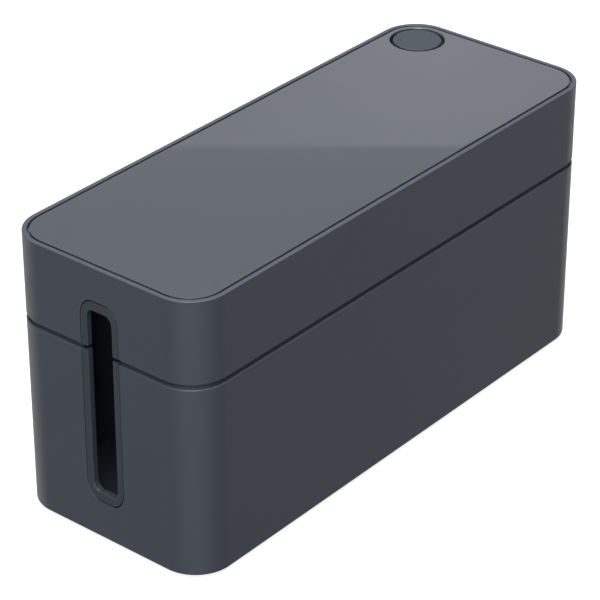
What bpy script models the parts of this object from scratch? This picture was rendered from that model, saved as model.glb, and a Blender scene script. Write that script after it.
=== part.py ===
"""Cable management box: an open base tub, a lift-off lid with a set-in top panel, a trimmed cable
slot in each short end, and a round capped cable outlet in one corner of the lid.

Metres, +Z up, +X along the length. The origin is on the ground, under the middle of the box.
"""

import math

import bmesh
import bpy
from mathutils import Matrix, Vector

# Driving dimensions.
LENGTH = 0.406
DEPTH = 0.155
HEIGHT = 0.197
CORNER_RADIUS = 0.027
WALL = 0.003
GAP = 0.0003  # clearance between pieces that touch

# Heights, counted from the ground.
FOOT_PROUD = 0.0024
BASE_TOP = 0.1374
LID_BOTTOM = 0.1404

# Shiplap joint between base and lid: the base's lip stands inside the lid's thin skirt.
LIP_INSET = 0.0019
LIP_HEIGHT = 0.008
SKIRT = LIP_INSET - GAP

# Floor, feet and the base's soft bottom edge.
FLOOR = 0.003
BOTTOM_EDGE = 0.001
FOOT_RADIUS = 0.007
FOOT_POCKET = 0.0009
FOOT_X = 0.178
FOOT_Y = 0.052

# Lid top: a rim round a pocket, with the panel taped down inside it.
RIM_WIDTH = 0.0031
PANEL_INSET = 0.0048
PANEL_THICKNESS = 0.0018
TAPE_THICKNESS = 0.0008
TAPE_WIDTH = 0.012
TAPE_LENGTH = 0.300
TAPE_PITCH = 0.048
DECK_THICKNESS = 0.0026
TOP_EDGE = 0.0004

# Cable slot in each short end, and the trim that lines it. Its corners are taller than wide.
SLOT_HALF_WIDTH = 0.0101
SLOT_LOW = 0.0365
SLOT_HIGH = 0.1668
SLOT_CORNER = 0.005
TRIM_HALF_WIDTH = 0.0149
TRIM_LOW = 0.0301
TRIM_HIGH = 0.1732
TRIM_CORNER = 0.0098
CORNER_STRETCH = 1.35
TRIM_DEPTH = 0.0045
TRIM_FLANGE = 0.0025

# Round outlet, centred on the corner's own arc.
OUTLET_X = LENGTH / 2 - CORNER_RADIUS
OUTLET_Y = DEPTH / 2 - CORNER_RADIUS
PANEL_HOLE_RADIUS = 0.0191
DECK_HOLE_RADIUS = 0.0210
COLLAR_WELL_RADIUS = 0.0194
COLLAR_BORE_RADIUS = 0.0153
COLLAR_WALL = 0.0013
COLLAR_FLANGE_RADIUS = 0.0236
COLLAR_LEDGE_DEPTH = 0.0070  # from the lid's top down to the ledge that the cap rests on
COLLAR_LEDGE_THICKNESS = 0.0014
COLLAR_DEPTH = 0.0140
CAP_RADIUS = 0.0169
CAP_PLUG_RADIUS = 0.0149
CAP_HOLLOW_RADIUS = 0.0126
CAP_TOP_THICKNESS = 0.0020
CAP_EDGE = 0.0005
CAP_PLUG_DEPTH = 0.0135
RING_DEPTH = 0.0099  # from the lid's top down to the middle of the grip ring
RING_GROOVE_DEPTH = 0.0010
RING_GROOVE_HALF = 0.0009
RING_WIRE_RADIUS = 0.0004

# Fineness of round shapes.
CORNER_STEPS = 10
SLOT_STEPS = 6
TURN_STEPS = 40
WIRE_STEPS = 8

# Levels worked out from the above.
LIP_TOP = BASE_TOP + LIP_HEIGHT
SHOULDER = LIP_TOP + GAP
PANEL_UNDERSIDE = HEIGHT - PANEL_THICKNESS
DECK_TOP = PANEL_UNDERSIDE - TAPE_THICKNESS - 2 * GAP
DECK_UNDERSIDE = DECK_TOP - DECK_THICKNESS
CLEAR = 0.010  # how far a cutter runs past what it cuts


def clear_scene():
    for obj in list(bpy.data.objects):
        bpy.data.objects.remove(obj)


def new_collection(name):
    collection = bpy.data.collections.new(name)
    bpy.context.scene.collection.children.link(collection)
    return collection


clear_scene()
PARTS = new_collection("cable_box")
CUTTERS = new_collection("cable_box_cutters")


def material(name, colour, roughness):
    """A plain plastic or rubber."""
    made = bpy.data.materials.new(name)
    made.use_nodes = True
    shader = made.node_tree.nodes["Principled BSDF"]
    shader.inputs["Base Color"].default_value = (*colour, 1.0)
    shader.inputs["Roughness"].default_value = roughness
    shader.inputs["Metallic"].default_value = 0.0
    made.diffuse_color = (*colour, 1.0)
    return made


SHELL_PLASTIC = material("shell_plastic", (0.060, 0.068, 0.080), 0.55)
PANEL_PLASTIC = material("panel_plastic", (0.075, 0.080, 0.092), 0.30)
TRIM_PLASTIC = material("trim_plastic", (0.050, 0.058, 0.070), 0.50)
CAP_PLASTIC = material("cap_plastic", (0.060, 0.070, 0.082), 0.45)
COLLAR_PLASTIC = material("collar_plastic", (0.035, 0.038, 0.042), 0.60)
FOOT_RUBBER = material("foot_rubber", (0.018, 0.018, 0.019), 0.85)
RING_RUBBER = material("ring_rubber", (0.022, 0.022, 0.024), 0.80)
TAPE_FOAM = material("tape_foam", (0.030, 0.030, 0.032), 0.95)


def add_object(name, bm, surface):
    """Turns a bmesh into an object: one of the box's parts if it has a material, otherwise a cutter."""
    mesh = bpy.data.meshes.new(name)
    bm.to_mesh(mesh)
    bm.free()
    obj = bpy.data.objects.new(name, mesh)
    if surface:
        mesh.materials.append(surface)
        PARTS.objects.link(obj)
    else:
        CUTTERS.objects.link(obj)
        obj.hide_render = True
        obj.display_type = "WIRE"
    return obj


def edges_along(bm, axis):
    """The edges that run along one axis (0, 1 or 2)."""
    found = []
    for edge in bm.edges:
        run = edge.verts[1].co - edge.verts[0].co
        if abs(run[axis]) > 0.999 * run.length:
            found.append(edge)
    return found


def box(low, high):
    bm = bmesh.new()
    bmesh.ops.create_cube(bm, size=1.0)
    low = Vector(low)
    high = Vector(high)
    bmesh.ops.scale(bm, vec=high - low, verts=bm.verts)
    bmesh.ops.translate(bm, vec=(low + high) / 2, verts=bm.verts)
    return bm


def rounded_box(low, high, radius, axis=2, steps=CORNER_STEPS, stretch=1.0):
    """A box whose edges along one axis are rounded. Stretch makes those corners taller in Z than wide."""
    squash = Matrix.Diagonal((1.0, 1.0, 1.0 / stretch))
    bm = box(squash @ Vector(low), squash @ Vector(high))
    bmesh.ops.bevel(
        bm,
        geom=edges_along(bm, axis),
        offset=radius,
        offset_type="OFFSET",
        segments=steps,
        profile=0.5,
        affect="EDGES",
        clamp_overlap=False,
    )
    bmesh.ops.scale(bm, vec=(1.0, 1.0, stretch), verts=bm.verts)
    return bm


def soften_outline(bm, level, width):
    """Bevels the outline of the flat end face that lies at one height."""
    outline = []
    for edge in bm.edges:
        if all(abs(vert.co.z - level) < 1e-6 for vert in edge.verts):
            outline.append(edge)
    bmesh.ops.bevel(
        bm, geom=outline, offset=width, segments=2, profile=0.5, affect="EDGES"
    )


def body_prism(inset, low, high):
    """The box's rounded plan, drawn in from its outer face, between two heights."""
    half = Vector((LENGTH / 2 - inset, DEPTH / 2 - inset, 0.0))
    return rounded_box(
        (-half.x, -half.y, low), (half.x, half.y, high), CORNER_RADIUS - inset
    )


def slot_prism(low_x, high_x, half_width, low, high, corner):
    """The slot's tall rounded outline, extruded along X."""
    return rounded_box(
        (low_x, -half_width, low),
        (high_x, half_width, high),
        corner,
        axis=0,
        steps=SLOT_STEPS,
        stretch=CORNER_STRETCH,
    )


def cylinder(centre, radius, low, high):
    bm = bmesh.new()
    bmesh.ops.create_cone(
        bm,
        cap_ends=True,
        segments=TURN_STEPS,
        radius1=radius,
        radius2=radius,
        depth=high - low,
    )
    middle = Vector((centre[0], centre[1], (low + high) / 2))
    bmesh.ops.translate(bm, vec=middle, verts=bm.verts)
    return bm


def combine(obj, other, operation):
    modifier = obj.modifiers.new(operation.lower(), "BOOLEAN")
    modifier.operation = operation
    modifier.solver = "EXACT"
    modifier.object = other


def turned(name, profile, centre, surface):
    """Turns a profile of (radius, height) points about a vertical line. It runs down its outer side."""
    bm = bmesh.new()
    points = []
    for radius, height in profile:
        points.append(bm.verts.new((radius, 0.0, height)))
    for start, end in zip(points, points[1:]):
        bm.edges.new((start, end))
    if profile[0][0] > 0:
        bm.edges.new((points[-1], points[0]))
    obj = add_object(name, bm, surface)
    obj.location = (centre[0], centre[1], 0.0)
    screw = obj.modifiers.new("turn", "SCREW")
    screw.axis = "Z"
    screw.steps = TURN_STEPS
    screw.render_steps = TURN_STEPS
    screw.use_merge_vertices = True
    screw.merge_threshold = 0.00001
    return obj


# Cutters that several parts share.
SLOT_CUTTER = add_object(
    "slot_cutter",
    slot_prism(
        -LENGTH / 2 - CLEAR,
        LENGTH / 2 + CLEAR,
        SLOT_HALF_WIDTH,
        SLOT_LOW,
        SLOT_HIGH,
        SLOT_CORNER,
    ),
    None,
)
WALL_CUTTER = add_object(
    "slot_wall_cutter",
    slot_prism(
        -LENGTH / 2 - CLEAR,
        LENGTH / 2 + CLEAR,
        TRIM_HALF_WIDTH + GAP,
        TRIM_LOW - GAP,
        TRIM_HIGH + GAP,
        TRIM_CORNER + GAP,
    ),
    None,
)
ABOVE_BASE = add_object(
    "above_base_cutter", box((-LENGTH, -DEPTH, BASE_TOP), (LENGTH, DEPTH, 2 * HEIGHT)), None
)
BELOW_LID = add_object(
    "below_lid_cutter", box((-LENGTH, -DEPTH, -HEIGHT), (LENGTH, DEPTH, LID_BOTTOM)), None
)


def foot_places():
    """Name and centre of each of the four feet."""
    for row, y in (("front", -FOOT_Y), ("rear", FOOT_Y)):
        for side, x in (("left", -FOOT_X), ("right", FOOT_X)):
            yield f"{row}_{side}", (x, y)


def make_base_shell():
    """The tub: floor and walls, with the thinner lip that the lid fits over."""
    outer = body_prism(0.0, FOOT_PROUD, BASE_TOP)
    soften_outline(outer, FOOT_PROUD, BOTTOM_EDGE)
    shell = add_object("base_shell", outer, SHELL_PLASTIC)
    lip = add_object("lip_former", body_prism(LIP_INSET, BASE_TOP - CLEAR, LIP_TOP), None)
    combine(shell, lip, "UNION")
    hollow = body_prism(WALL, FOOT_PROUD + FLOOR, LIP_TOP + CLEAR)
    combine(shell, add_object("base_hollow_cutter", hollow, None), "DIFFERENCE")
    combine(shell, WALL_CUTTER, "DIFFERENCE")
    for place, centre in foot_places():
        pocket = cylinder(
            centre,
            FOOT_RADIUS + GAP,
            FOOT_PROUD - CLEAR,
            FOOT_PROUD + FOOT_POCKET,
        )
        cutter = add_object(f"foot_pocket_{place}_cutter", pocket, None)
        combine(shell, cutter, "DIFFERENCE")


def make_feet():
    """Self-adhesive rubber discs, set in shallow pockets under the floor."""
    top = FOOT_PROUD + FOOT_POCKET - GAP
    edge = 0.0006
    profile = [
        (0.0, top),
        (FOOT_RADIUS, top),
        (FOOT_RADIUS, edge),
        (FOOT_RADIUS - edge, 0.0),
        (0.0, 0.0),
    ]
    for place, centre in foot_places():
        turned(f"foot_{place}", profile, centre, FOOT_RUBBER)


def make_lid_shell():
    """The lid: a deck and walls, with a rim round the panel's pocket and a thin skirt below."""
    outer = body_prism(0.0, LID_BOTTOM, HEIGHT)
    soften_outline(outer, HEIGHT, TOP_EDGE)
    shell = add_object("lid_shell", outer, SHELL_PLASTIC)
    pocket = body_prism(RIM_WIDTH, DECK_TOP, HEIGHT + CLEAR)
    hollow = body_prism(WALL, LID_BOTTOM - CLEAR, DECK_UNDERSIDE)
    rebate = body_prism(SKIRT, LID_BOTTOM - CLEAR, SHOULDER)
    hole = cylinder(
        (OUTLET_X, OUTLET_Y),
        DECK_HOLE_RADIUS,
        DECK_UNDERSIDE - CLEAR,
        DECK_TOP + CLEAR,
    )
    combine(shell, add_object("panel_pocket_cutter", pocket, None), "DIFFERENCE")
    combine(shell, add_object("lid_hollow_cutter", hollow, None), "DIFFERENCE")
    combine(shell, add_object("skirt_rebate_cutter", rebate, None), "DIFFERENCE")
    combine(shell, add_object("deck_hole_cutter", hole, None), "DIFFERENCE")
    combine(shell, WALL_CUTTER, "DIFFERENCE")


def make_top_panel():
    """The flat plate set into the lid's top, level with the rim."""
    plate = add_object(
        "lid_top_panel", body_prism(PANEL_INSET, PANEL_UNDERSIDE, HEIGHT), PANEL_PLASTIC
    )
    hole = cylinder(
        (OUTLET_X, OUTLET_Y),
        PANEL_HOLE_RADIUS,
        PANEL_UNDERSIDE - CLEAR,
        HEIGHT + CLEAR,
    )
    combine(plate, add_object("panel_hole_cutter", hole, None), "DIFFERENCE")


def make_panel_tapes():
    """Foam tape strips that hold the panel down on the deck."""
    for row, name in enumerate(("front", "middle", "rear")):
        y = (row - 1) * TAPE_PITCH
        low = (-TAPE_LENGTH / 2, y - TAPE_WIDTH / 2, DECK_TOP + GAP)
        high = (TAPE_LENGTH / 2, y + TAPE_WIDTH / 2, PANEL_UNDERSIDE - GAP)
        add_object(f"panel_tape_{name}", box(low, high), TAPE_FOAM)


def make_slot_trim(name, side, beyond):
    """Half of one slot's trim: a channel through the wall, with a flange behind it."""
    face = side * LENGTH / 2
    back = face - side * TRIM_DEPTH
    wall_back = face - side * (WALL + GAP)
    channel = slot_prism(
        min(face, back),
        max(face, back),
        TRIM_HALF_WIDTH,
        TRIM_LOW,
        TRIM_HIGH,
        TRIM_CORNER,
    )
    flange = slot_prism(
        min(wall_back, back),
        max(wall_back, back),
        TRIM_HALF_WIDTH + TRIM_FLANGE,
        TRIM_LOW - TRIM_FLANGE,
        TRIM_HIGH + TRIM_FLANGE,
        TRIM_CORNER + TRIM_FLANGE,
    )
    trim = add_object(name, channel, TRIM_PLASTIC)
    combine(trim, add_object(f"{name}_flange_former", flange, None), "UNION")
    combine(trim, SLOT_CUTTER, "DIFFERENCE")
    combine(trim, beyond, "DIFFERENCE")


def make_slot_trims():
    for name, side in (("left", -1), ("right", 1)):
        make_slot_trim(f"base_slot_trim_{name}", side, ABOVE_BASE)
        make_slot_trim(f"lid_slot_trim_{name}", side, BELOW_LID)


def make_outlet_collar():
    """The ring that lines the outlet: a well below the panel, a ledge, and a bore that holds the cap."""
    ledge = HEIGHT - COLLAR_LEDGE_DEPTH
    under = ledge - COLLAR_LEDGE_THICKNESS
    bottom = HEIGHT - COLLAR_DEPTH
    profile = [
        (COLLAR_WELL_RADIUS, PANEL_UNDERSIDE - GAP),
        (COLLAR_WELL_RADIUS + COLLAR_WALL, PANEL_UNDERSIDE - GAP),
        (COLLAR_WELL_RADIUS + COLLAR_WALL, DECK_UNDERSIDE - GAP),
        (COLLAR_FLANGE_RADIUS, DECK_UNDERSIDE - GAP),
        (COLLAR_FLANGE_RADIUS, under),
        (COLLAR_BORE_RADIUS + COLLAR_WALL, under),
        (COLLAR_BORE_RADIUS + COLLAR_WALL, bottom),
        (COLLAR_BORE_RADIUS, bottom),
        (COLLAR_BORE_RADIUS, ledge),
        (COLLAR_WELL_RADIUS, ledge),
    ]
    turned("outlet_collar", profile, (OUTLET_X, OUTLET_Y), COLLAR_PLASTIC)


def make_outlet_cap():
    """The lift-out cap: a thick disc level with the panel, on a hollow plug with a ring groove."""
    rest = HEIGHT - COLLAR_LEDGE_DEPTH + GAP
    bottom = HEIGHT - CAP_PLUG_DEPTH
    groove = HEIGHT - RING_DEPTH
    groove_floor = CAP_PLUG_RADIUS - RING_GROOVE_DEPTH
    profile = [
        (0.0, HEIGHT),
        (CAP_RADIUS - CAP_EDGE, HEIGHT),
        (CAP_RADIUS, HEIGHT - CAP_EDGE),
        (CAP_RADIUS, rest),
        (CAP_PLUG_RADIUS, rest),
        (CAP_PLUG_RADIUS, groove + RING_GROOVE_HALF),
        (groove_floor, groove + RING_GROOVE_HALF),
        (groove_floor, groove - RING_GROOVE_HALF),
        (CAP_PLUG_RADIUS, groove - RING_GROOVE_HALF),
        (CAP_PLUG_RADIUS, bottom),
        (CAP_HOLLOW_RADIUS, bottom),
        (CAP_HOLLOW_RADIUS, HEIGHT - CAP_TOP_THICKNESS),
        (0.0, HEIGHT - CAP_TOP_THICKNESS),
    ]
    turned("outlet_cap", profile, (OUTLET_X, OUTLET_Y), CAP_PLASTIC)


def make_grip_ring():
    """The rubber ring in the plug's groove, which holds the cap in its bore."""
    centre_radius = (CAP_PLUG_RADIUS - RING_GROOVE_DEPTH + COLLAR_BORE_RADIUS) / 2
    profile = []
    for step in range(WIRE_STEPS):
        angle = math.pi / 2 - step * math.tau / WIRE_STEPS
        radius = centre_radius + RING_WIRE_RADIUS * math.cos(angle)
        height = HEIGHT - RING_DEPTH + RING_WIRE_RADIUS * math.sin(angle)
        profile.append((radius, height))
    turned("cap_grip_ring", profile, (OUTLET_X, OUTLET_Y), RING_RUBBER)


def parent_to_joint(name, place, holder, children):
    """An empty on a joint's axis, which carries the parts that move with it."""
    empty = bpy.data.objects.new(name, None)
    empty.empty_display_size = CORNER_RADIUS
    empty.location = place
    empty.parent = holder
    PARTS.objects.link(empty)
    for obj in children:
        obj.parent = empty
        obj.location -= empty.location
    return empty


def parent_moving_parts():
    """The lid lifts off the base, and the cap lifts out of the lid."""
    in_cap = []
    in_lid = []
    for obj in list(PARTS.objects):
        if obj.name in ("outlet_cap", "cap_grip_ring"):
            in_cap.append(obj)
        elif not obj.name.startswith(("base_", "foot_")):
            in_lid.append(obj)
    lid_joint = parent_to_joint("lid_lift", Vector(), None, in_lid)
    outlet = Vector((OUTLET_X, OUTLET_Y, 0.0))
    parent_to_joint("outlet_cap_lift", outlet, lid_joint, in_cap)


def shade_round_parts():
    for obj in PARTS.objects:
        obj.data.shade_smooth()
        obj.data.set_sharp_from_angle(angle=math.radians(30))


make_base_shell()
make_feet()
make_lid_shell()
make_top_panel()
make_panel_tapes()
make_slot_trims()
make_outlet_collar()
make_outlet_cap()
make_grip_ring()
shade_round_parts()
parent_moving_parts()
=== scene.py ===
"""The cable box's looks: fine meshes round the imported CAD, its plastics and rubber, a plain pale
studio and the camera. Everything is in metres, in the CAD's own frame."""

import math

import bmesh
import bpy
from mathutils import Matrix, Vector


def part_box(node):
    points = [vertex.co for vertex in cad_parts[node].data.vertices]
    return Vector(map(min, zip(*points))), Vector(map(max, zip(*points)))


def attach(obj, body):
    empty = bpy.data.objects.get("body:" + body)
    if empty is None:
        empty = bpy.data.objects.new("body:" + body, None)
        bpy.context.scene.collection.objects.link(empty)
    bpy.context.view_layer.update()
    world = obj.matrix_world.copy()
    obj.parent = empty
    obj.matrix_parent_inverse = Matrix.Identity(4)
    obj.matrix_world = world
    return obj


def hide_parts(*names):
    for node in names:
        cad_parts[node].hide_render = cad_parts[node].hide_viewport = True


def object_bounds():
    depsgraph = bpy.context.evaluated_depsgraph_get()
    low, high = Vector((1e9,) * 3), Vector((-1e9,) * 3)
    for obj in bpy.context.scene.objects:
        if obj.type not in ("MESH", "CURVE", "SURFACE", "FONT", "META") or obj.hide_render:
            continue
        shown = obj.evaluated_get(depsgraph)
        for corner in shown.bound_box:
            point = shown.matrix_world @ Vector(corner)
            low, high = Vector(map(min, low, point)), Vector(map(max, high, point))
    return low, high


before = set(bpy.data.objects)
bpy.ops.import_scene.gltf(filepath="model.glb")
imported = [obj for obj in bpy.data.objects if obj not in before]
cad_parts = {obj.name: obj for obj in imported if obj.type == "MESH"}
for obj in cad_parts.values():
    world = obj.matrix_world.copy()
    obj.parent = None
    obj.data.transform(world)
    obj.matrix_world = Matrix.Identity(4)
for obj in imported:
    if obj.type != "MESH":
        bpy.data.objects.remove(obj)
CAD_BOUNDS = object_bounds()

# Sizes that the frame gives.
LOW, HIGH = (Vector(corner) for corner in CAD_BOUNDS)
HALF_X = (HIGH.x - LOW.x) / 2
HALF_Y = (HIGH.y - LOW.y) / 2
TOP = HIGH.z
BASE_LOW, BASE_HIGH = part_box("base_shell")
LID_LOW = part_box("lid_shell")[0]
PANEL_LOW, PANEL_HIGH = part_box("lid_top_panel")
TRIM_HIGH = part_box("base_slot_trim_left")[1]
CAP_LOW, CAP_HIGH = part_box("outlet_cap")
RING_LOW, RING_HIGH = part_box("cap_grip_ring")
COLLAR_LOW, COLLAR_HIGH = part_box("outlet_collar")
BASE_BOTTOM = BASE_LOW.z
LIP_TOP = BASE_HIGH.z
BASE_TOP = TRIM_HIGH.z
LID_BOTTOM = LID_LOW.z
PANEL_UNDERSIDE = PANEL_LOW.z
PANEL_INSET = HALF_X - PANEL_HIGH.x
OUTLET = (CAP_LOW + CAP_HIGH) / 2
CAP_RADIUS = (CAP_HIGH.x - CAP_LOW.x) / 2
COLLAR_RADIUS = (COLLAR_HIGH.x - COLLAR_LOW.x) / 2

# Sizes that the boxes don't give, in step with the part's.
GAP = 0.0003
CORNER_RADIUS = 0.027
WALL = 0.003
FLOOR = 0.003
LIP_INSET = 0.0019
SKIRT = LIP_INSET - GAP
SHOULDER = LIP_TOP + GAP
RIM_WIDTH = 0.0031
DECK_TOP = 0.1938
DECK_UNDERSIDE = 0.1912
PANEL_HOLE = 0.0191
DECK_HOLE = 0.0210
FOOT_POCKET = 0.0009
SLOT_HALF_WIDTH = 0.0101
SLOT_LOW = 0.0365
SLOT_HIGH = 0.1668
SLOT_CORNER_Y = 0.0050
SLOT_CORNER_Z = 0.00675
TRIM_WIDTH = 0.0048
TRIM_END_RATIO = 1.333  # the trim is this much wider at the slot's ends than along its sides
TRIM_FLANGE = 0.0025
TRIM_DEPTH = 0.0045
COLLAR_WELL = 0.0194
COLLAR_BORE = 0.0153
COLLAR_WALL = 0.0013
COLLAR_LEDGE = TOP - 0.0070
LEDGE_THICKNESS = 0.0014
PLUG_RADIUS = 0.0149
PLUG_HOLLOW = 0.0126
CAP_THICKNESS = 0.0020
RING_GROOVE_DEPTH = 0.0010
RING_GROOVE_HALF = 0.0009

# Edge roundings, and what only the fine meshes have.
EDGE = 0.0004
FINE_EDGE = 0.00025
SOFT_EDGE = 0.0010
STEP_EDGE = 2.2 * EDGE
FLOOR_EDGE = 0.002
DECK_EDGE = 0.001
MOUTH_EDGE = 0.8 * EDGE
PANEL_HOLE_EDGE = 1.5 * EDGE
CAP_EDGE = 2 * EDGE
FOOT_EDGE = 1.5 * EDGE
FLAT_MARGIN = 4 * EDGE  # how far inside its rounded edge a flat area starts
HOLE_MARGIN = 2 * EDGE
TRIM_MOUTH = 0.0009
TRIM_END_EDGE = 0.6 * FINE_EDGE
STEP_FALL = 0.0012  # how far the base's step slopes down towards its lip
OUTLINE_GAP = 0.00065  # the dark line round the slots' trims
CAP_CORE = 0.004  # the flat middle of the cap, which is filled rather than turned
FOOT_CORE = 0.3  # the same for a foot, as a share of its radius
SOLE_RIM = (0.8, 0.7)  # where a foot's sole starts to dish and where it is flat again
PIN_RADIUS = 0.004
PIN_DEPTH = 0.00015
PIN_COLUMNS = (-0.150, -0.075, 0.0, 0.075, 0.150)
PIN_ROWS = (-0.045, 0.045)

# Fineness of round shapes.
CORNER_STEPS = 24
FILLET_STEPS = 4
SLOT_STEPS = 16
TURN_STEPS = 96
POCKET_STEPS = 40
WIRE_STEPS = 16
MOUTH_STEPS = 3
CLEAR = 0.010  # how far a cutter runs past what it cuts
ON_FACE = 1e-6  # how close to a face counts as on it
SHARP_ANGLE = math.radians(35)
CUT_ANGLE = 1.0  # radians: only a cutter leaves an edge as sharp as this in an end wall
FLAT_WEIGHT = 100


# ---------------------------------------------------------------- outlines and rings


def rounded(points, closed=False):
    """A path through (a, b, fillet) points, with an arc at each corner that has a fillet."""
    path = []
    count = len(points)
    for index, (a, b, fillet) in enumerate(points):
        here = Vector((a, b))
        if fillet <= 0 or (not closed and index in (0, count - 1)):
            path.append(here)
            continue
        before = (Vector(points[index - 1][:2]) - here).normalized()
        after = (Vector(points[(index + 1) % count][:2]) - here).normalized()
        half_angle = before.angle(after) / 2
        reach = fillet / math.tan(half_angle)
        middle = here + (before + after).normalized() * fillet / math.sin(half_angle)
        start = here + before * reach - middle
        end = here + after * reach - middle
        turn = start.angle_signed(end)
        for step in range(FILLET_STEPS + 1):
            angle = turn * step / FILLET_STEPS
            spin = Matrix.Rotation(-angle, 2)
            path.append(middle + spin @ start)
    return path


def plan_outline(inset):
    """The box's rounded plan, drawn in from its outer face."""
    radius = CORNER_RADIUS - inset
    outline = []
    for corner, (side_x, side_y) in enumerate(((1, 1), (-1, 1), (-1, -1), (1, -1))):
        centre = Vector((side_x * (HALF_X - CORNER_RADIUS), side_y * (HALF_Y - CORNER_RADIUS)))
        for step in range(CORNER_STEPS + 1):
            angle = math.pi / 2 * (corner + step / CORNER_STEPS)
            outline.append(centre + radius * Vector((math.cos(angle), math.sin(angle))))
    return outline


def ring(bm, outline, height):
    """A loop of vertices at one height."""
    return [bm.verts.new((point.x, point.y, height)) for point in outline]


def circle(bm, centre, radius, height, steps=TURN_STEPS):
    """A round loop of vertices at one height."""
    loop = []
    for step in range(steps):
        angle = math.tau * step / steps
        x = centre.x + radius * math.cos(angle)
        y = centre.y + radius * math.sin(angle)
        loop.append(bm.verts.new((x, y, height)))
    return loop


def skin(bm, rings, wrap=False):
    """Faces between neighbouring rings. Wrap joins the last ring to the first."""
    pairs = list(zip(rings, rings[1:]))
    if wrap:
        pairs.append((rings[-1], rings[0]))
    for one, other in pairs:
        count = len(one)
        for index in range(count):
            following = (index + 1) % count
            bm.faces.new((one[index], one[following], other[following], other[index]))


def fill(bm, *loops):
    """Closes a flat area that is bounded by an outer loop and any number of holes."""
    edges = []
    for loop in loops:
        for one, other in zip(loop, loop[1:] + loop[:1]):
            edges.append(bm.edges.get((one, other)) or bm.edges.new((one, other)))
    bmesh.ops.triangle_fill(bm, use_beauty=True, use_dissolve=False, edges=edges)


def pocket(bm, centre, radius, height, floor):
    """A shallow round recess: its mouth's loop is returned, for the area around it to be filled."""
    mouth = circle(bm, centre, radius, height, POCKET_STEPS)
    bottom = circle(bm, centre, radius, floor, POCKET_STEPS)
    skin(bm, [mouth, bottom])
    fill(bm, bottom)
    return mouth


# ---------------------------------------------------------------- pieces


def new_mesh(name, bm):
    """A mesh from a bmesh, with its faces turned outwards."""
    bmesh.ops.recalc_face_normals(bm, faces=bm.faces)
    mesh = bpy.data.meshes.new(name)
    bm.to_mesh(mesh)
    bm.free()
    return mesh


def new_object(name, bm):
    """An object in the scene from a bmesh."""
    obj = bpy.data.objects.new(name, new_mesh(name, bm))
    bpy.context.scene.collection.objects.link(obj)
    return obj


def make_piece(name, bm, surface, body, node):
    """Finishes a mesh as a visible piece that stands for one CAD node."""
    obj = new_object(name, bm)
    obj.data.materials.append(surface)
    obj.data.shade_smooth()
    obj.data.set_sharp_from_angle(angle=SHARP_ANGLE)
    weighted = obj.modifiers.new("even_flats", "WEIGHTED_NORMAL")
    weighted.keep_sharp = True
    weighted.weight = FLAT_WEIGHT
    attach(obj, body)
    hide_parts(node)
    return obj


def turned(bm, profile, centre, closed=True):
    """Turns a (radius, height, fillet) profile about a vertical line, with its open ends filled."""
    rings = []
    for radius, height in rounded(profile, closed):
        rings.append(circle(bm, centre, radius, height))
    skin(bm, rings, wrap=closed)
    if not closed:
        fill(bm, rings[0])
        fill(bm, rings[-1])


def cut(bm, cutter):
    """The bmesh with a cutter's shape taken out of it."""
    obj = new_object("blank", bm)
    tool = new_object("cutter", cutter)
    modifier = obj.modifiers.new("cut", "BOOLEAN")
    modifier.operation = "DIFFERENCE"
    modifier.solver = "EXACT"
    modifier.object = tool
    graph = bpy.context.evaluated_depsgraph_get()
    mesh = bpy.data.meshes.new_from_object(obj.evaluated_get(graph))
    after = bmesh.new()
    after.from_mesh(mesh)
    for spare in (obj, tool):
        bpy.data.objects.remove(spare)
    bpy.data.meshes.remove(mesh)
    return after


# ---------------------------------------------------------------- the slots' outline


def slot_half(reach, split, upper):
    """Half of the slot's outline, drawn out by reach: (y, z) points from leg end to leg end."""
    half_width = SLOT_HALF_WIDTH + reach
    end_reach = reach * TRIM_END_RATIO
    corner_y = SLOT_CORNER_Y + reach
    corner_z = SLOT_CORNER_Z + end_reach
    way = 1 if upper else -1
    end = SLOT_HIGH + end_reach if upper else SLOT_LOW - end_reach
    right = []
    for z in (split, split + way * FINE_EDGE):
        right.append((half_width, z))
    for step in range(SLOT_STEPS + 1):
        angle = math.pi / 2 * step / SLOT_STEPS
        y = half_width - corner_y + corner_y * math.cos(angle)
        z = end - way * corner_z + way * corner_z * math.sin(angle)
        right.append((y, z))
    left = [(-y, z) for y, z in reversed(right)]
    return right + left


def slot_cutter(reach):
    """A prism of the whole slot's outline, right through both ends of the box."""
    middle = (BASE_TOP + LID_BOTTOM) / 2
    upper = slot_half(reach, middle, True)
    lower = slot_half(reach, middle, False)
    outline = upper + lower[::-1][1:-1]
    bm = bmesh.new()
    rings = []
    for x in (-HALF_X - CLEAR, HALF_X + CLEAR):
        rings.append([bm.verts.new((x, y, z)) for y, z in outline])
    skin(bm, rings)
    fill(bm, rings[0])
    fill(bm, rings[1])
    return bm


def ease_slot_mouth(bm):
    """Rounds the outer edges that the slot cutter left in both end walls."""
    reach = SLOT_HALF_WIDTH + TRIM_WIDTH + 2 * GAP
    edges = []
    for edge in bm.edges:
        on_face = all(abs(abs(vert.co.x) - HALF_X) < ON_FACE for vert in edge.verts)
        near = all(abs(vert.co.y) < reach for vert in edge.verts)
        if on_face and near and edge.is_manifold and edge.calc_face_angle() > CUT_ANGLE:
            edges.append(edge)
    bmesh.ops.bevel(
        bm, geom=edges, offset=MOUTH_EDGE, segments=MOUTH_STEPS, profile=0.5, affect="EDGES"
    )


# ---------------------------------------------------------------- moulded shells


def foot_centres():
    """Each foot's name, centre and radius."""
    for row in ("front", "rear"):
        for side in ("left", "right"):
            name = f"foot_{row}_{side}"
            low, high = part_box(name)
            yield name, (low + high) / 2, (high.x - low.x) / 2


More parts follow.
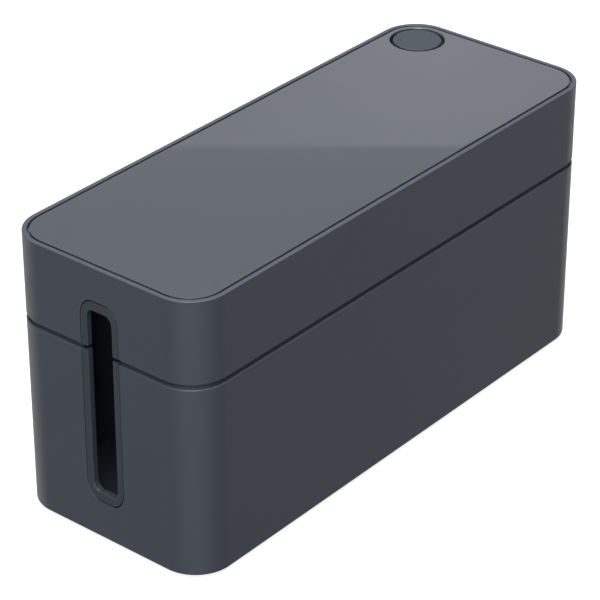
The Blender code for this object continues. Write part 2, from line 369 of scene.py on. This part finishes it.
def pin_marks(bm, height, floor):
    """Witness rings of the mould's ejector pins, as very shallow round recesses."""
    mouths = []
    for x in PIN_COLUMNS:
        for y in PIN_ROWS:
            mouths.append(pocket(bm, Vector((x, y)), PIN_RADIUS, height, floor))
    return mouths


def build_base_shell():
    """Inner floor, wall, lip, step and outer wall as one swept profile, then the slots."""
    floor_top = BASE_BOTTOM + FLOOR
    profile = [
        (WALL + 2 * FLOOR_EDGE, floor_top, 0),
        (WALL, floor_top, FLOOR_EDGE),
        (WALL, LIP_TOP, EDGE),
        (LIP_INSET, LIP_TOP, EDGE),
        (LIP_INSET, BASE_TOP - STEP_FALL, EDGE / 2),
        (0, BASE_TOP, STEP_EDGE),
        (0, BASE_BOTTOM, SOFT_EDGE),
        (2 * SOFT_EDGE, BASE_BOTTOM, 0),
    ]
    bm = bmesh.new()
    rings = [ring(bm, plan_outline(inset), z) for inset, z in rounded(profile)]
    skin(bm, rings)
    fill(bm, rings[0], *pin_marks(bm, floor_top, floor_top - PIN_DEPTH))
    mouths = []
    for _, centre, radius in foot_centres():
        mouths.append(pocket(bm, centre, radius + GAP, BASE_BOTTOM, BASE_BOTTOM + FOOT_POCKET))
    fill(bm, rings[-1], *mouths)
    bmesh.ops.recalc_face_normals(bm, faces=bm.faces)
    bm = cut(bm, slot_cutter(TRIM_WIDTH + OUTLINE_GAP))
    ease_slot_mouth(bm)
    make_piece("base_shell_fine", bm, SHELL, "base", "base_shell")


def build_lid_shell():
    """Deck, rim, outer wall, skirt and inner wall as one swept profile, then the slots."""
    profile = [
        (RIM_WIDTH + FLAT_MARGIN, DECK_TOP, 0),
        (RIM_WIDTH, DECK_TOP, EDGE),
        (RIM_WIDTH, TOP, FINE_EDGE),
        (0, TOP, EDGE),
        (0, LID_BOTTOM, EDGE / 2),
        (SKIRT, LID_BOTTOM, FINE_EDGE),
        (SKIRT, SHOULDER, FINE_EDGE),
        (WALL, SHOULDER, FINE_EDGE),
        (WALL, DECK_UNDERSIDE, DECK_EDGE),
        (WALL + 1.5 * DECK_EDGE, DECK_UNDERSIDE, 0),
    ]
    bm = bmesh.new()
    rings = [ring(bm, plan_outline(inset), z) for inset, z in rounded(profile)]
    skin(bm, rings)
    hole_top = circle(bm, OUTLET, DECK_HOLE, DECK_TOP)
    hole_bottom = circle(bm, OUTLET, DECK_HOLE, DECK_UNDERSIDE)
    skin(bm, [hole_top, hole_bottom])
    fill(bm, rings[0], hole_top)
    fill(bm, rings[-1], hole_bottom, *pin_marks(bm, DECK_UNDERSIDE, DECK_UNDERSIDE + PIN_DEPTH))
    bmesh.ops.recalc_face_normals(bm, faces=bm.faces)
    bm = cut(bm, slot_cutter(TRIM_WIDTH + OUTLINE_GAP))
    ease_slot_mouth(bm)
    make_piece("lid_shell_fine", bm, SHELL, "lid", "lid_shell")


def build_top_panel():
    """The set-in plate, with eased edges all round and round the outlet's hole."""
    bm = bmesh.new()
    edge_profile = [
        (PANEL_INSET + FLAT_MARGIN, TOP, 0),
        (PANEL_INSET, TOP, EDGE / 2),
        (PANEL_INSET, PANEL_UNDERSIDE, FINE_EDGE),
        (PANEL_INSET + FLAT_MARGIN, PANEL_UNDERSIDE, 0),
    ]
    hole_profile = [
        (PANEL_HOLE + HOLE_MARGIN, TOP, 0),
        (PANEL_HOLE, TOP, PANEL_HOLE_EDGE),
        (PANEL_HOLE, PANEL_UNDERSIDE, FINE_EDGE),
        (PANEL_HOLE + HOLE_MARGIN, PANEL_UNDERSIDE, 0),
    ]
    outer = [ring(bm, plan_outline(inset), z) for inset, z in rounded(edge_profile)]
    hole = [circle(bm, OUTLET, radius, z) for radius, z in rounded(hole_profile)]
    skin(bm, outer)
    skin(bm, hole)
    fill(bm, outer[0], hole[0])
    fill(bm, outer[-1], hole[-1])
    make_piece("lid_top_panel_fine", bm, PANEL, "lid", "lid_top_panel")


def build_tapes():
    """Foam tape strips with rounded ends."""
    for name in ("panel_tape_front", "panel_tape_middle", "panel_tape_rear"):
        low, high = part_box(name)
        centre = (low + high) / 2
        radius = (high.y - low.y) / 2
        run = (high.x - low.x) / 2 - radius
        outline = []
        for side, start in ((1, -math.pi / 2), (-1, math.pi / 2)):
            for step in range(CORNER_STEPS + 1):
                angle = start + math.pi * step / CORNER_STEPS
                x = centre.x + side * run + radius * math.cos(angle)
                outline.append(Vector((x, centre.y + radius * math.sin(angle))))
        bm = bmesh.new()
        rings = [ring(bm, outline, low.z), ring(bm, outline, high.z)]
        skin(bm, rings)
        fill(bm, rings[0])
        fill(bm, rings[1])
        make_piece(f"{name}_fine", bm, FOAM, "lid", name)


# ---------------------------------------------------------------- slot trims


def shrunk(section, distance):
    """A closed section drawn in by a small distance, for the eased end of a swept piece."""
    area = 0.0
    for one, other in zip(section, section[1:] + section[:1]):
        area += one.x * other.y - other.x * one.y
    turn = 1 if area > 0 else -1
    inner = []
    for index, here in enumerate(section):
        before = (here - section[index - 1]).normalized()
        after = (section[(index + 1) % len(section)] - here).normalized()
        normal = Vector((-(before.y + after.y), before.x + after.x)).normalized() * turn
        inner.append(here + normal * distance)
    return inner


def trim_section():
    """The trim's section as (reach from the slot's edge, depth from the outer face) points."""
    wall_back = WALL + GAP
    return rounded(
        [
            (0, 0, TRIM_MOUTH),
            (TRIM_WIDTH, 0, EDGE),
            (TRIM_WIDTH, wall_back, 0),
            (TRIM_WIDTH + TRIM_FLANGE, wall_back, FINE_EDGE),
            (TRIM_WIDTH + TRIM_FLANGE, TRIM_DEPTH, FINE_EDGE),
            (0, TRIM_DEPTH, EDGE),
        ],
        closed=True,
    )


def build_slot_trim(name, side, upper):
    """A U-shaped channel swept along half of the slot's outline, with eased ends."""
    section = trim_section()
    ends = shrunk(section, TRIM_END_EDGE)
    split = LID_BOTTOM if upper else BASE_TOP
    paths = [slot_half(reach, split, upper) for reach, _ in section]
    end_paths = [slot_half(reach, split, upper) for reach, _ in ends]
    stations = len(paths[0])
    bm = bmesh.new()
    rings = []
    for station in range(stations):
        at_end = station in (0, stations - 1)
        loop = []
        for index in range(len(section)):
            y, z = (end_paths if at_end else paths)[index][station]
            depth = (ends if at_end else section)[index].y
            loop.append(bm.verts.new((side * (HALF_X - depth), y, z)))
        rings.append(loop)
    skin(bm, rings)
    fill(bm, rings[0])
    fill(bm, rings[-1])
    body = "lid" if upper else "base"
    make_piece(f"{name}_fine", bm, TRIM, body, name)


def build_slot_trims():
    """The left and right ends' trims, each in a base half and a lid half."""
    for name, side in (("left", -1), ("right", 1)):
        build_slot_trim(f"base_slot_trim_{name}", side, False)
        build_slot_trim(f"lid_slot_trim_{name}", side, True)


# ---------------------------------------------------------------- outlet and feet


def build_collar():
    """The stepped ring under the deck, whose ledge carries the cap."""
    flange_top = DECK_UNDERSIDE - GAP
    under = COLLAR_LEDGE - LEDGE_THICKNESS
    collar = [
        (COLLAR_WELL, COLLAR_HIGH.z, FINE_EDGE),
        (COLLAR_WELL + COLLAR_WALL, COLLAR_HIGH.z, FINE_EDGE),
        (COLLAR_WELL + COLLAR_WALL, flange_top, 0),
        (COLLAR_RADIUS, flange_top, FINE_EDGE),
        (COLLAR_RADIUS, under, FINE_EDGE),
        (COLLAR_BORE + COLLAR_WALL, under, EDGE),
        (COLLAR_BORE + COLLAR_WALL, COLLAR_LOW.z, FINE_EDGE),
        (COLLAR_BORE, COLLAR_LOW.z, FINE_EDGE),
        (COLLAR_BORE, COLLAR_LEDGE, EDGE),
        (COLLAR_WELL, COLLAR_LEDGE, FINE_EDGE),
    ]
    bm = bmesh.new()
    turned(bm, collar, OUTLET)
    make_piece("outlet_collar_fine", bm, COLLAR, "lid", "outlet_collar")


def build_cap():
    """The cap's disc and its hollow plug, with a groove for the grip ring."""
    groove = (RING_LOW.z + RING_HIGH.z) / 2
    groove_floor = PLUG_RADIUS - RING_GROOVE_DEPTH
    rest = COLLAR_LEDGE + GAP
    cap = [
        (CAP_CORE, TOP, 0),
        (CAP_RADIUS, TOP, CAP_EDGE),
        (CAP_RADIUS, rest, FINE_EDGE),
        (PLUG_RADIUS, rest, FINE_EDGE),
        (PLUG_RADIUS, groove + RING_GROOVE_HALF, FINE_EDGE),
        (groove_floor, groove + RING_GROOVE_HALF, 0),
        (groove_floor, groove - RING_GROOVE_HALF, 0),
        (PLUG_RADIUS, groove - RING_GROOVE_HALF, FINE_EDGE),
        (PLUG_RADIUS, CAP_LOW.z, EDGE),
        (PLUG_HOLLOW, CAP_LOW.z, EDGE),
        (PLUG_HOLLOW, TOP - CAP_THICKNESS, SOFT_EDGE),
        (CAP_CORE, TOP - CAP_THICKNESS, 0),
    ]
    bm = bmesh.new()
    turned(bm, cap, OUTLET, closed=False)
    make_piece("outlet_cap_fine", bm, CAP, "cap", "outlet_cap")


def build_grip_ring():
    """The round-wire rubber ring in the plug's groove."""
    height = (RING_LOW.z + RING_HIGH.z) / 2
    wire = (RING_HIGH.z - RING_LOW.z) / 2
    middle = (RING_HIGH.x - RING_LOW.x) / 2 - wire
    seal = []
    for step in range(WIRE_STEPS):
        angle = math.tau * step / WIRE_STEPS
        seal.append((middle + wire * math.cos(angle), height + wire * math.sin(angle), 0))
    bm = bmesh.new()
    turned(bm, seal, OUTLET)
    make_piece("cap_grip_ring_fine", bm, RUBBER, "cap", "cap_grip_ring")


def build_feet():
    """Rubber discs with a rounded rim and a shallow dished sole."""
    for name, centre, radius in foot_centres():
        low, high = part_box(name)
        core = FOOT_CORE * radius
        outer, inner = (share * radius for share in SOLE_RIM)
        profile = [
            (core, high.z, 0),
            (radius, high.z, FINE_EDGE),
            (radius, low.z, FOOT_EDGE),
            (outer, low.z, FINE_EDGE),
            (inner, low.z + EDGE, FINE_EDGE),
            (core, low.z + EDGE, 0),
        ]
        bm = bmesh.new()
        turned(bm, profile, centre, closed=False)
        make_piece(f"{name}_fine", bm, RUBBER, "base", name)


# ---------------------------------------------------------------- materials


NOISE_SPAN = (0.3, 0.7)  # where nearly all of a noise's values lie
BROAD = 18  # scales of the noises that change the colour and the roughness
CLOUDY = 140
# How dark the painted shade on the lip in the parting gap is, as a share of the shell's colour.
PAINTED_GAP_SHADE = 0.55


def node_of(tree, kind, **values):
    """A new node with its inputs or its properties set by name."""
    node = tree.nodes.new(kind)
    for name, value in values.items():
        if name in node.inputs:
            node.inputs[name].default_value = value
        else:
            setattr(node, name, value)
    return node


def noise(tree, place, scale, detail, roughness=0.5):
    """A noise's value at a place."""
    found = node_of(tree, "ShaderNodeTexNoise", Scale=scale, Detail=detail, Roughness=roughness)
    tree.links.new(place, found.inputs["Vector"])
    return found.outputs["Fac"]


def set_range(found, start, end, low, high):
    """Sets what a range node maps from and to."""
    for name, number in zip(("From Min", "From Max", "To Min", "To Max"), (start, end, low, high)):
        found.inputs[name].default_value = number


def spread(tree, value, low, high):
    """Maps a noise value, which stays near its middle, onto a range."""
    found = node_of(tree, "ShaderNodeMapRange")
    set_range(found, *NOISE_SPAN, low, high)
    tree.links.new(value, found.inputs["Value"])
    return found.outputs["Result"]


def ramp(tree, value, start, end, low, high):
    """A smooth change from low to high as a value goes from start to end."""
    found = node_of(tree, "ShaderNodeMapRange", interpolation_type="SMOOTHSTEP")
    set_range(found, start, end, low, high)
    tree.links.new(value, found.inputs["Value"])
    return found.outputs["Result"]


def maths(tree, operation, *values):
    """The result of an operation on numbers and sockets."""
    found = node_of(tree, "ShaderNodeMath", operation=operation)
    for socket, value in zip(found.inputs, values):
        if isinstance(value, float):
            socket.default_value = value
        else:
            tree.links.new(value, socket)
    return found.outputs[0]


def distance_from(tree, place, middle):
    """How far a place is from a fixed one."""
    found = node_of(tree, "ShaderNodeVectorMath", operation="DISTANCE")
    found.inputs[1].default_value = middle
    tree.links.new(place, found.inputs[0])
    return found.outputs["Value"]


def height_of(tree, place):
    """A place's or a direction's upward part."""
    split = tree.nodes.new("ShaderNodeSeparateXYZ")
    tree.links.new(place, split.inputs[0])
    return split.outputs["Z"]


def plastic(name, colour, roughness, grain, grain_depth, mottle=0.04, specular=0.5):
    """A moulded plastic or rubber. Grain is the texture's size, and its depth the bump's."""
    made = bpy.data.materials.new(name)
    made.use_nodes = True
    tree = made.node_tree
    shader = tree.nodes["Principled BSDF"]
    place = tree.nodes.new("ShaderNodeTexCoord").outputs["Object"]
    fine = noise(tree, place, scale=1 / grain, detail=3, roughness=0.6)
    broad = noise(tree, place, scale=BROAD, detail=3)
    cloudy = noise(tree, place, scale=CLOUDY, detail=4)

    tint = node_of(tree, "ShaderNodeMix", data_type="RGBA")
    dark = [channel * (1 - mottle) for channel in colour]
    light = [channel * (1 + mottle) for channel in colour]
    tint.inputs["A"].default_value = (*dark, 1)
    tint.inputs["B"].default_value = (*light, 1)
    tree.links.new(spread(tree, broad, 0, 1), tint.inputs["Factor"])
    tree.links.new(tint.outputs["Result"], shader.inputs["Base Color"])

    low, high = roughness
    tree.links.new(spread(tree, cloudy, low, high), shader.inputs["Roughness"])

    bump = node_of(tree, "ShaderNodeBump", Strength=1.0, Distance=grain_depth)
    tree.links.new(fine, bump.inputs["Height"])
    tree.links.new(bump.outputs["Normal"], shader.inputs["Normal"])
    shader.inputs["Specular IOR Level"].default_value = specular
    return made


def paint_gap_shade(made):
    """Paints shade on the base's lip where it shows in the parting gap: darker colour between the
    base's top and the lid's bottom.
    """
    tree = made.node_tree
    shader = tree.nodes["Principled BSDF"]
    colour = shader.inputs["Base Color"].links[0].from_socket
    height = height_of(tree, tree.nodes.new("ShaderNodeTexCoord").outputs["Object"])
    start = ramp(tree, height, BASE_TOP, BASE_TOP + EDGE / 2, 1.0, PAINTED_GAP_SHADE)
    end = ramp(tree, height, LID_BOTTOM - EDGE / 2, LID_BOTTOM, 0.0, 1.0)
    scaled = node_of(tree, "ShaderNodeVectorMath", operation="SCALE")
    tree.links.new(colour, scaled.inputs[0])
    tree.links.new(maths(tree, "MAXIMUM", start, end), scaled.inputs["Scale"])
    tree.links.new(scaled.outputs["Vector"], shader.inputs["Base Color"])


SHELL = plastic(
    "shell_plastic",
    colour=(0.0525, 0.0602, 0.0795),
    roughness=(0.41, 0.45),
    grain=0.0005,
    grain_depth=0.000006,
    mottle=0.02,
)
PANEL = plastic(
    "panel_plastic",
    colour=(0.068, 0.0735, 0.0855),
    roughness=(0.02, 0.03),
    grain=0.0030,
    grain_depth=0.0000001,
    mottle=0.01,
)
TRIM = plastic(
    "trim_plastic",
    colour=(0.0335, 0.0430, 0.0555),
    roughness=(0.38, 0.42),
    grain=0.0006,
    grain_depth=0.000006,
    mottle=0.02,
)
CAP = plastic(
    "cap_plastic",
    colour=(0.043, 0.052, 0.064),
    roughness=(0.52, 0.56),
    grain=0.0006,
    grain_depth=0.000006,
    mottle=0.02,
    specular=0.2,
)
COLLAR = plastic(
    "collar_plastic",
    colour=(0.046, 0.056, 0.069),
    roughness=(0.50, 0.58),
    grain=0.0008,
    grain_depth=0.000006,
    mottle=0.02,
)
RUBBER = plastic(
    "soft_rubber",
    colour=(0.016, 0.016, 0.017),
    roughness=(0.75, 0.88),
    grain=0.0005,
    grain_depth=0.00003,
)
FOAM = plastic(
    "foam_tape",
    colour=(0.026, 0.026, 0.028),
    roughness=(0.90, 1.00),
    grain=0.0004,
    grain_depth=0.0001,
)
# Painted shade: the shell's colour is darker where its lip shows in the parting gap.
paint_gap_shade(SHELL)


# ---------------------------------------------------------------- studio and camera


CAMERA_AT = Vector((-1.19747, -0.97487, 0.98269))
CAMERA_YAW = math.radians(39.467)
CAMERA_PITCH = math.radians(30.164)
LENS = 161.86
SENSOR = 36.0
VIEW_AZIMUTH = math.degrees(CAMERA_YAW)
BEHIND_CAMERA = VIEW_AZIMUTH + 175
FAR_CLIP = 50
FLOOR_HALF = 8.0
FLOOR_GREY = 0.30
FLOOR_GLOW = 0.85
WHITE = (1, 1, 1, 1)
# The surroundings' brightness: all round, and low down behind the box and in front of it.
AMBIENT = 0.110
GLOW_BEHIND = 0.78
GLOW_BEFORE = 0.44
GLOW_AZIMUTH = CAMERA_YAW + math.radians(8)
LOW_BAND = (-0.10, 0.05)  # the upward parts of a direction between which these two fade out
BEHIND_BAND = (0.10, 0.40)  # the forward parts between which the one behind comes up
BEFORE_BAND = (-0.80, -0.55)  # and between which the one in front fades out
BACKDROP = 1.0
# How a soft box fades from its middle, and what the fading takes from it, given back.
LIGHT_MIDDLE = (0.5, 0.5, 0)
SOFT_FROM = 0.15
SOFT_TO = 0.5
SOFT_GAIN = 2.85
# The white board's size and brightness, its brighter spot, and the dim band above it.
CARD_DISTANCE = 3.0
CARD_HALF_WIDTH = 3.0
CARD_TOP = 1.718
CARD_COLOUR = (1.0, 1.0, 1.06, 1)
CARD_GLOW = 0.55
CARD_HOT = 0.22
CARD_HOT_AT = (0.25, 0, 1.48)
CARD_HOT_REACH = 0.50
HALO_TOP = 1.90
HALO = 0.12


def build_camera():
    """Looks along its yaw from +X, and down by its pitch."""
    ahead = Vector(
        (
            math.cos(CAMERA_YAW) * math.cos(CAMERA_PITCH),
            math.sin(CAMERA_YAW) * math.cos(CAMERA_PITCH),
            -math.sin(CAMERA_PITCH),
        )
    )
    data = bpy.data.cameras.new("camera")
    data.lens = LENS
    data.sensor_width = SENSOR
    data.clip_end = FAR_CLIP
    camera = bpy.data.objects.new("camera", data)
    camera.location = CAMERA_AT
    camera.rotation_euler = ahead.to_track_quat("-Z", "Y").to_euler()
    bpy.context.scene.collection.objects.link(camera)
    bpy.context.scene.camera = camera


def build_floor():
    """A plain pale floor: bright enough to show as white, and out of the box's own reflections."""
    bm = bmesh.new()
    bmesh.ops.create_grid(bm, x_segments=1, y_segments=1, size=FLOOR_HALF)
    floor = new_object("floor", bm)
    made = bpy.data.materials.new("pale_floor")
    made.use_nodes = True
    shader = made.node_tree.nodes["Principled BSDF"]
    shader.inputs["Base Color"].default_value = (FLOOR_GREY, FLOOR_GREY, FLOOR_GREY, 1)
    shader.inputs["Roughness"].default_value = 0.9
    shader.inputs["Specular IOR Level"].default_value = 0.0
    shader.inputs["Emission Color"].default_value = WHITE
    shader.inputs["Emission Strength"].default_value = FLOOR_GLOW
    floor.data.materials.append(made)
    floor.visible_diffuse = False
    floor.visible_glossy = False
    floor.visible_shadow = False


def toward(azimuth, distance, height):
    """A place at a compass angle from +X, a distance from the middle of the box, and a height."""
    angle = math.radians(azimuth)
    return Vector((distance * math.cos(angle), distance * math.sin(angle), height))


def soften(data):
    """Lets a soft box fade from its middle to its edges, so that it has no hard outline."""
    data.use_nodes = True
    tree = data.node_tree
    place = tree.nodes.new("ShaderNodeNewGeometry").outputs["Parametric"]
    apart = distance_from(tree, place, LIGHT_MIDDLE)
    fade = ramp(tree, apart, SOFT_FROM, SOFT_TO, SOFT_GAIN, 0.0)
    tree.links.new(fade, tree.nodes["Emission"].inputs["Strength"])


def area_light(name, place, target, size, radiance, colour=(1, 1, 1)):
    """A soft box of a mean radiance, which faces its target."""
    data = bpy.data.lights.new(name, "AREA")
    data.shape = "RECTANGLE"
    data.size, data.size_y = size
    data.energy = radiance * math.pi * size[0] * size[1]
    data.color = colour
    soften(data)
    light = bpy.data.objects.new(name, data)
    light.location = place
    away = Vector(target) - Vector(place)
    light.rotation_euler = away.to_track_quat("-Z", "Y").to_euler()
    light.visible_camera = False
    bpy.context.scene.collection.objects.link(light)


def level_part(tree, direction, azimuth):
    """How far a direction points along a compass angle."""
    along = node_of(tree, "ShaderNodeVectorMath", operation="DOT_PRODUCT")
    along.inputs[1].default_value = (math.cos(azimuth), math.sin(azimuth), 0)
    tree.links.new(direction, along.inputs[0])
    return along.outputs["Value"]


def surroundings(tree):
    """The dim studio round the box: a little brighter low down, in front of it and behind it."""
    direction = tree.nodes.new("ShaderNodeTexCoord").outputs["Generated"]
    away = level_part(tree, direction, GLOW_AZIMUTH)
    ahead = level_part(tree, direction, CAMERA_YAW)
    low = ramp(tree, height_of(tree, direction), *LOW_BAND, 1.0, 0.0)
    behind = ramp(tree, away, *BEHIND_BAND, 0.0, GLOW_BEHIND)
    before = ramp(tree, ahead, *BEFORE_BAND, GLOW_BEFORE, 0.0)
    glow = maths(tree, "MULTIPLY", maths(tree, "ADD", behind, before), low)
    return maths(tree, "ADD", glow, AMBIENT)


def build_world():
    """White where the camera sees it, and dim for the box."""
    world = bpy.data.worlds.new("studio")
    world.use_nodes = True
    tree = world.node_tree
    around = tree.nodes["Background"]
    around.inputs["Color"].default_value = WHITE
    tree.links.new(surroundings(tree), around.inputs["Strength"])
    shown = node_of(tree, "ShaderNodeBackground", Color=WHITE, Strength=BACKDROP)
    chosen = tree.nodes.new("ShaderNodeMixShader")
    path = tree.nodes.new("ShaderNodeLightPath")
    tree.links.new(path.outputs["Is Camera Ray"], chosen.inputs[0])
    tree.links.new(around.outputs[0], chosen.inputs[1])
    tree.links.new(shown.outputs[0], chosen.inputs[2])
    tree.links.new(chosen.outputs[0], tree.nodes["World Output"].inputs["Surface"])
    bpy.context.scene.world = world


def card_glow(tree):
    """The board's brightness: brighter at one spot, and no more than a dim band above its top."""
    place = tree.nodes.new("ShaderNodeTexCoord").outputs["Object"]
    apart = distance_from(tree, place, CARD_HOT_AT)
    board = ramp(tree, apart, 0.0, CARD_HOT_REACH, CARD_GLOW + CARD_HOT, CARD_GLOW)
    level = height_of(tree, place)
    halo = ramp(tree, level, CARD_TOP, HALO_TOP, AMBIENT + HALO, AMBIENT)
    lower = maths(tree, "MULTIPLY", board, maths(tree, "LESS_THAN", level, CARD_TOP))
    upper = maths(tree, "MULTIPLY", halo, maths(tree, "GREATER_THAN", level, CARD_TOP))
    return maths(tree, "ADD", lower, upper)


def build_card():
    """The white board behind the box, whose top edge shows in the glossy panel."""
    bm = bmesh.new()
    corners = []
    for x, z in ((-1, 0), (1, 0), (1, 1), (-1, 1)):
        corners.append(bm.verts.new((x * CARD_HALF_WIDTH, 0, z * HALO_TOP)))
    bm.faces.new(corners)
    card = new_object("white_board", bm)
    card.location = toward(VIEW_AZIMUTH, CARD_DISTANCE, 0)
    card.rotation_euler = (0, 0, CAMERA_YAW - math.pi / 2)
    made = bpy.data.materials.new("white_board")
    made.use_nodes = True
    tree = made.node_tree
    tree.nodes.remove(tree.nodes["Principled BSDF"])
    light = node_of(tree, "ShaderNodeEmission", Color=CARD_COLOUR)
    tree.links.new(card_glow(tree), light.inputs["Strength"])
    tree.links.new(light.outputs[0], tree.nodes["Material Output"].inputs["Surface"])
    card.data.materials.append(made)
    card.visible_camera = False
    card.visible_shadow = False


def build_lights():
    """One soft box overhead, a low and a high one behind the camera, and a cool one at the side."""
    middle = (0, 0, TOP / 2)
    area_light("overhead", place=(0, 0, 2.6), target=middle, size=(1.9, 1.9), radiance=6.40)
    area_light(
        "low_key",
        place=toward(BEHIND_CAMERA, 3.0, 0.75),
        target=(0, 0, 0.75),
        size=(1.3, 2.1),
        radiance=3.05,
    )
    area_light(
        "key",
        place=toward(BEHIND_CAMERA, 1.6, 2.6),
        target=middle,
        size=(1.8, 1.8),
        radiance=6.5,
    )
    area_light(
        "side",
        place=toward(172, 3.0, 1.2),
        target=middle,
        size=(1.6, 1.6),
        radiance=0.5,
        colour=(0.0, 1.0, 1.0),
    )
    bpy.context.scene.view_settings.view_transform = "Standard"


build_world()
build_card()
build_base_shell()
build_lid_shell()
build_top_panel()
build_tapes()
build_slot_trims()
build_collar()
build_cap()
build_grip_ring()
build_feet()
build_floor()
build_lights()
build_camera()
